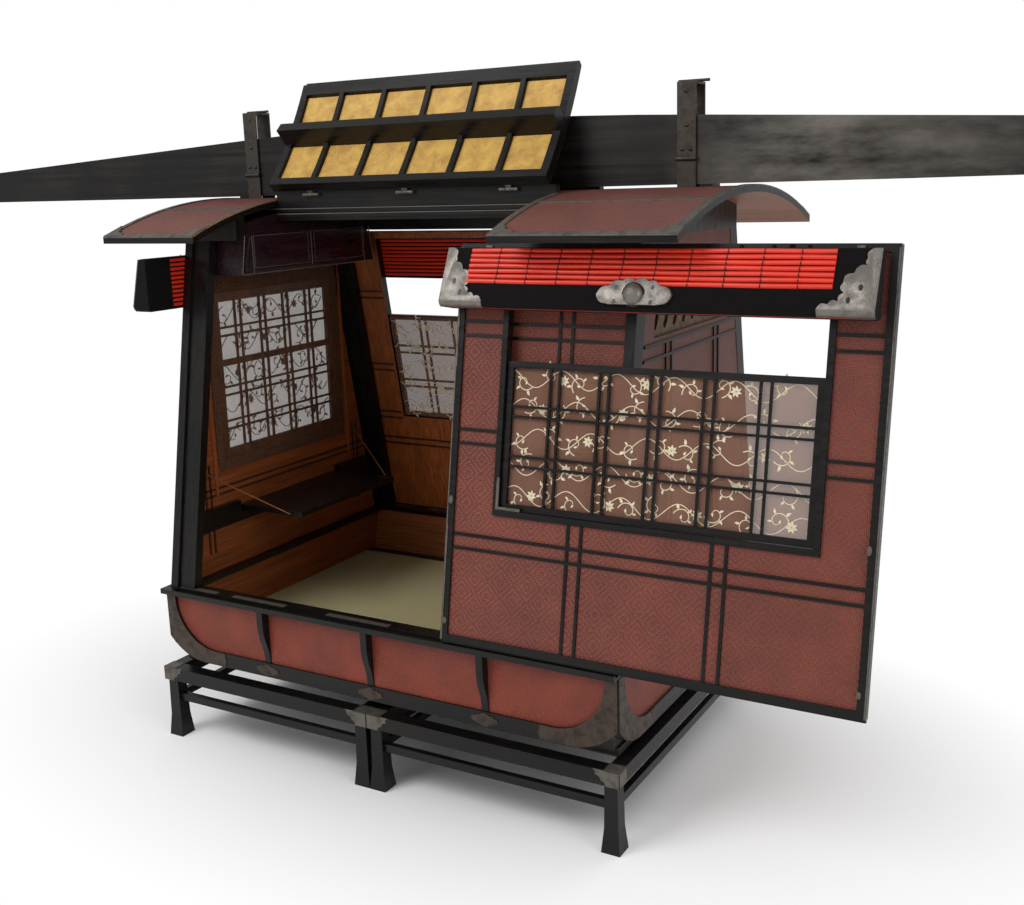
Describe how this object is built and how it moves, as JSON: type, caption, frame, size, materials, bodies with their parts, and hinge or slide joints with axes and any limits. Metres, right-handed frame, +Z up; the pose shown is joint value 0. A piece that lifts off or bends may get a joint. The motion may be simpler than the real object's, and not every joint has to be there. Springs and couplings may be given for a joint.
{
  "type": "palanquin, lacquered, with carrying pole, on trestle stands",
  "caption": "Lacquered palanquin: vaulted cabin with sliding side doors, folding roof hatches and rolled blinds under a long carrying pole, standing on low stands.",
  "frame": {"origin": "on the floor under the middle of the cabin", "axes": "+X along the carrying pole, -Y towards the open near side, +Z up"},
  "size_m": [4.2, 0.888, 1.5372],
  "materials": {
    "black_lacquer": "gloss",
    "red_weave": "satin",
    "roof_weave": "satin",
    "wall_weave": "satin",
    "plum_lacquer": "gloss",
    "cedar": "satin",
    "dark_wood": "satin",
    "aged_metal": "aged",
    "gauze": "thin",
    "vermilion_blind": "matte",
    "gold_paper": "metallic",
    "tatami": "woven",
    "cord": "braided"
  },
  "bodies": {
    "cabin": {"stand_left": "black_lacquer", "stand_right": "black_lacquer", "floor_pan": "dark_wood", "hull_side_near": "red_weave", "hull_side_far": "red_weave", "hull_end_left": "red_weave", "hull_end_right": "red_weave", "hull_plates": "aged_metal", "hull_lining": "cedar", "tatami": "tatami", "knees_near": "black_lacquer", "knees_far": "black_lacquer", "ledge": "black_lacquer", "cabin_frame_left": "black_lacquer", "cabin_frame_right": "black_lacquer", "end_wall_left": "wall_weave", "end_wall_right": "wall_weave", "end_lattice": "aged_metal", "side_panel_near": "wall_weave", "side_panel_far": "wall_weave", "end_sash": "cedar", "end_gauze": "gauze", "end_blind": "vermilion_blind", "end_blind_hooks": "aged_metal", "roof_vault": "roof_weave", "roof_battens": "black_lacquer", "ridge_beam_near": "black_lacquer", "ridge_beam_far": "black_lacquer", "ridge_rail_near": "black_lacquer", "ridge_rail_far": "black_lacquer", "ridge_hinges": "aged_metal", "pole": "black_lacquer", "pole_saddles": "black_lacquer", "hanger_left": "aged_metal", "hanger_right": "aged_metal", "cabinet": "plum_lacquer", "shelf_rail": "black_lacquer", "shelf_cords": "cord"},
    "near_door_leaf": {"near_door": "wall_weave", "near_door_sash": "black_lacquer", "near_door_gauze": "gauze", "near_door_blind": "vermilion_blind", "near_door_blind_hooks": "aged_metal"},
    "far_door_leaf": {"far_door": "wall_weave", "far_door_sash": "black_lacquer", "far_door_gauze": "gauze", "far_door_blind": "vermilion_blind", "far_door_blind_hooks": "aged_metal"},
    "near_hatch_leaf": {"near_hatch": "black_lacquer", "near_hatch_lintel": "black_lacquer", "near_hatch_lining": "gold_paper", "near_hatch_hinges": "aged_metal"},
    "far_hatch_leaf": {"far_hatch": "black_lacquer", "far_hatch_lintel": "black_lacquer", "far_hatch_lining": "gold_paper", "far_hatch_hinges": "aged_metal"},
    "folding_shelf": {"drop_shelf": "black_lacquer"},
    "cabinet_leaf_near": {"cabinet_door_near": "plum_lacquer"},
    "cabinet_leaf_far": {"cabinet_door_far": "plum_lacquer"}
  },
  "joints": [
    {"name": "near_door_slide", "type": "slide", "parent": "cabin", "child": "near_door_leaf", "axis": [-1, 0, 0], "range_m": [0, 0.748]},
    {"name": "far_door_slide", "type": "slide", "parent": "cabin", "child": "far_door_leaf", "axis": [1, 0, 0], "range_m": [0, 0.748]},
    {"name": "near_hatch_hinge", "type": "hinge", "parent": "cabin", "child": "near_hatch_leaf", "pos_m": [-0.0525, -0.122, 1.276], "axis": [1, 0, 0], "range_deg": [0, 137]},
    {"name": "far_hatch_hinge", "type": "hinge", "parent": "cabin", "child": "far_hatch_leaf", "pos_m": [-0.0525, 0.122, 1.276], "axis": [1, 0, 0], "range_deg": [0, 112]},
    {"name": "shelf_hinge", "type": "hinge", "parent": "cabin", "child": "folding_shelf", "pos_m": [-0.55, 0, 0.517], "axis": [0, -1, 0], "range_deg": [0, 85]},
    {"name": "cabinet_door_near_hinge", "type": "hinge", "parent": "cabin", "child": "cabinet_leaf_near", "pos_m": [-0.426, -0.211, 1.149], "axis": [0, 0, -1], "range_deg": [0, 95]},
    {"name": "cabinet_door_far_hinge", "type": "hinge", "parent": "cabin", "child": "cabinet_leaf_far", "pos_m": [-0.426, 0.211, 1.149], "axis": [0, 0, 1], "range_deg": [0, 95]}
  ]
}
